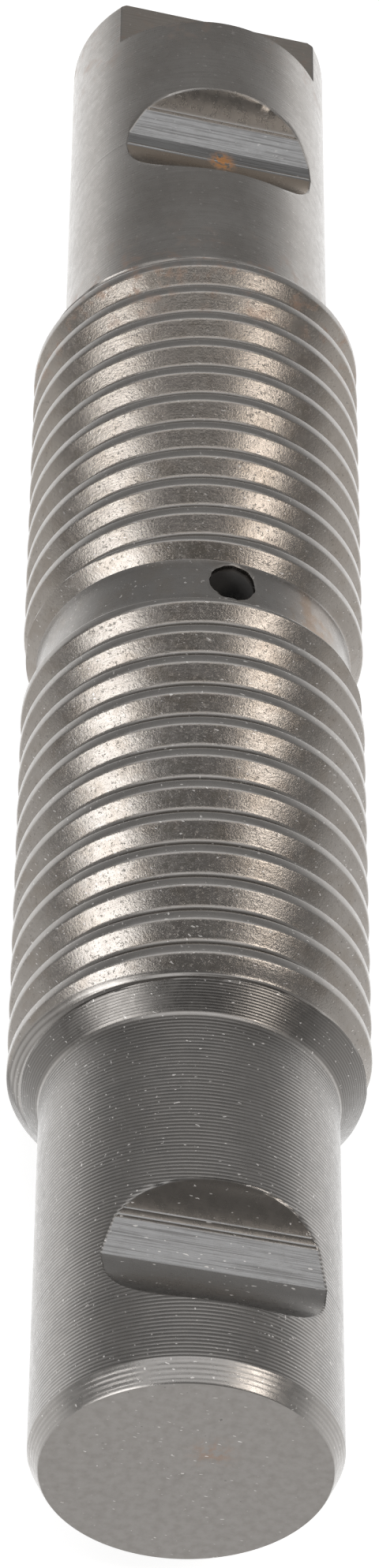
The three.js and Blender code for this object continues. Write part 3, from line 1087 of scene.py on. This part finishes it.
def soft_box(name, station, azimuth, elevation, distance, size, power, colour=(1, 1, 1)):
    """A soft light seen from this station at this azimuth from the near end's direction,
    towards the right, and this elevation. It is aimed at the pin, and its size is its
    width across the pin and its depth."""
    data = bpy.data.lights.new(name, "AREA")
    data.shape = "RECTANGLE"
    data.size, data.size_y = size
    data.energy = power
    data.color = colour
    light = bpy.data.objects.new(name, data)
    a, e = math.radians(azimuth), math.radians(elevation)
    back = in_view_frame(-math.cos(a) * math.cos(e), math.sin(e), math.sin(a) * math.cos(e))
    across = ALONG.cross(back).normalized()
    turn = Matrix((across, back.cross(across), back)).transposed()
    place = Vector((0, NEAR_Y + station, AXIS_Z)) * MM + back * distance
    light.matrix_world = Matrix.Translation(place) @ turn.to_4x4()
    bpy.context.scene.collection.objects.link(light)


def make_floor():
    """A plain pale floor, big enough to fill every view."""
    size = 4.0
    mesh = bpy.data.meshes.new("floor")
    corners = [(-size, -size, 0), (size, -size, 0), (size, size, 0), (-size, size, 0)]
    mesh.from_pydata(corners, [], [(0, 1, 2, 3)])
    floor = bpy.data.objects.new("floor", mesh)
    floor.location.z = -0.0002
    floor.visible_glossy = False
    material = bpy.data.materials.new("floor_paper")
    material.use_nodes = True
    surface = material.node_tree.nodes["Principled BSDF"]
    surface.inputs["Base Color"].default_value = (0.5, 0.5, 0.5, 1)
    surface.inputs["Roughness"].default_value = 0.9
    surface.inputs["Specular IOR Level"].default_value = 0.1
    surface.inputs["Emission Color"].default_value = (1, 1, 1, 1)
    surface.inputs["Emission Strength"].default_value = 0.76
    mesh.materials.append(material)
    bpy.context.scene.collection.objects.link(floor)


def make_world():
    """A white studio: a bright table and horizon, a softer ceiling, and the dark side
    of the room behind the camera."""
    world = bpy.data.worlds.new("studio")
    world.use_nodes = True
    bpy.context.scene.world = world
    tree = world.node_tree
    background = tree.nodes["Background"]
    direction = tree.nodes.new("ShaderNodeTexCoord").outputs["Generated"]

    def facing(axis):
        made = tree.nodes.new("ShaderNodeVectorMath")
        made.operation = "DOT_PRODUCT"
        tree.links.new(direction, made.inputs[0])
        made.inputs[1].default_value = axis
        return made.outputs["Value"]

    def curve(value, stops):
        made = tree.nodes.new("ShaderNodeValToRGB")
        elements = made.color_ramp.elements
        while len(elements) < len(stops):
            elements.new(0.5)
        for element, (place, level) in zip(elements, stops):
            element.position = (place + 1) / 2
            element.color = (level, level, level, 1)
        half = tree.nodes.new("ShaderNodeMath")
        half.operation = "MULTIPLY_ADD"
        tree.links.new(value, half.inputs[0])
        half.inputs[1].default_value = 0.5
        half.inputs[2].default_value = 0.5
        tree.links.new(half.outputs[0], made.inputs["Fac"])
        return made.outputs["Color"]

    def mixed(blend, factor, first, second):
        made = tree.nodes.new("ShaderNodeMix")
        made.data_type = "RGBA"
        made.blend_type = blend
        made.inputs["Factor"].default_value = 1.0
        if factor is not None:
            tree.links.new(factor, made.inputs["Factor"])
        tree.links.new(first, made.inputs[6])
        tree.links.new(second, made.inputs[7])
        return made.outputs[2]

    upwards = facing(UPRIGHT)
    near_side = curve(upwards, [(-1, 1.08), (-0.08, 0.95), (0.0, 0.6), (0.1, 0.32), (0.35, 0.33),
                                (0.52, 0.42), (0.7, 0.43), (1, 0.5)])
    far_side = curve(upwards, [(-1, 1.0), (-0.1, 0.92), (0.0, 0.64), (0.13, 0.42), (0.27, 0.30),
                               (0.45, 0.23), (0.58, 0.22), (0.72, 0.28), (1, 0.34)])
    brighter = tree.nodes.new("ShaderNodeVectorMath")
    brighter.operation = "SCALE"
    brighter.inputs["Scale"].default_value = FAR_SIDE_GAIN
    tree.links.new(far_side, brighter.inputs[0])
    far_side = brighter.outputs[0]
    along = curve(facing(ALONG), [(-1, 0.0), (-0.35, 0.0), (0.15, 0.5), (0.5, 1.0), (1, 1.0)])
    dark = curve(facing(in_view_frame(*DARK_SIDE)), [(-1, 1.0), (0.7, 1.0), (0.93, 0.62),
                                                     (1, 0.55)])
    room = mixed("MIX", along, near_side, far_side)
    tree.links.new(mixed("MULTIPLY", None, room, dark), background.inputs["Color"])
    background.inputs["Strength"].default_value = 1.0


# ---- scene --------------------------------------------------------------------------


def finish_piece(piece, material, body, node):
    piece.data.materials.append(material)
    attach(piece, body)
    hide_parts(node)


make_camera()
make_floor()
make_world()
soft_box("soft_box_left", station=105, azimuth=-44, elevation=29, distance=0.9,
         size=(0.45, 0.45), power=2.9)
soft_box("soft_box_right", station=145, azimuth=46, elevation=34, distance=0.36,
         size=(0.095, 0.095), power=0.165, colour=(1.0, 0.93, 0.86))
soft_box("soft_box_top", station=15, azimuth=90, elevation=87, distance=0.9,
         size=(1.3, 0.74), power=2.8, colour=(0.97, 0.98, 1.0))

finish_piece(build_pin(), machined_steel(), "pin", "threaded_pin")
finish_piece(build_fitting(),
             bright_steel("plated_steel_detailed", grey(0.55, 0.08), 0.28, 0.004),
             "pin", "grease_fitting")
finish_piece(build_ball(), bright_steel("ball_steel_detailed", grey(0.7, -0.01), 0.12, 0.0005),
             "check_ball", "check_ball")

spring = build_spring()
finish_piece(spring, bright_steel("spring_steel_detailed", grey(0.42, -0.02), 0.3, 0.002),
             "pin", "check_spring")
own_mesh(spring)

bpy.context.scene.view_settings.view_transform = "Standard"
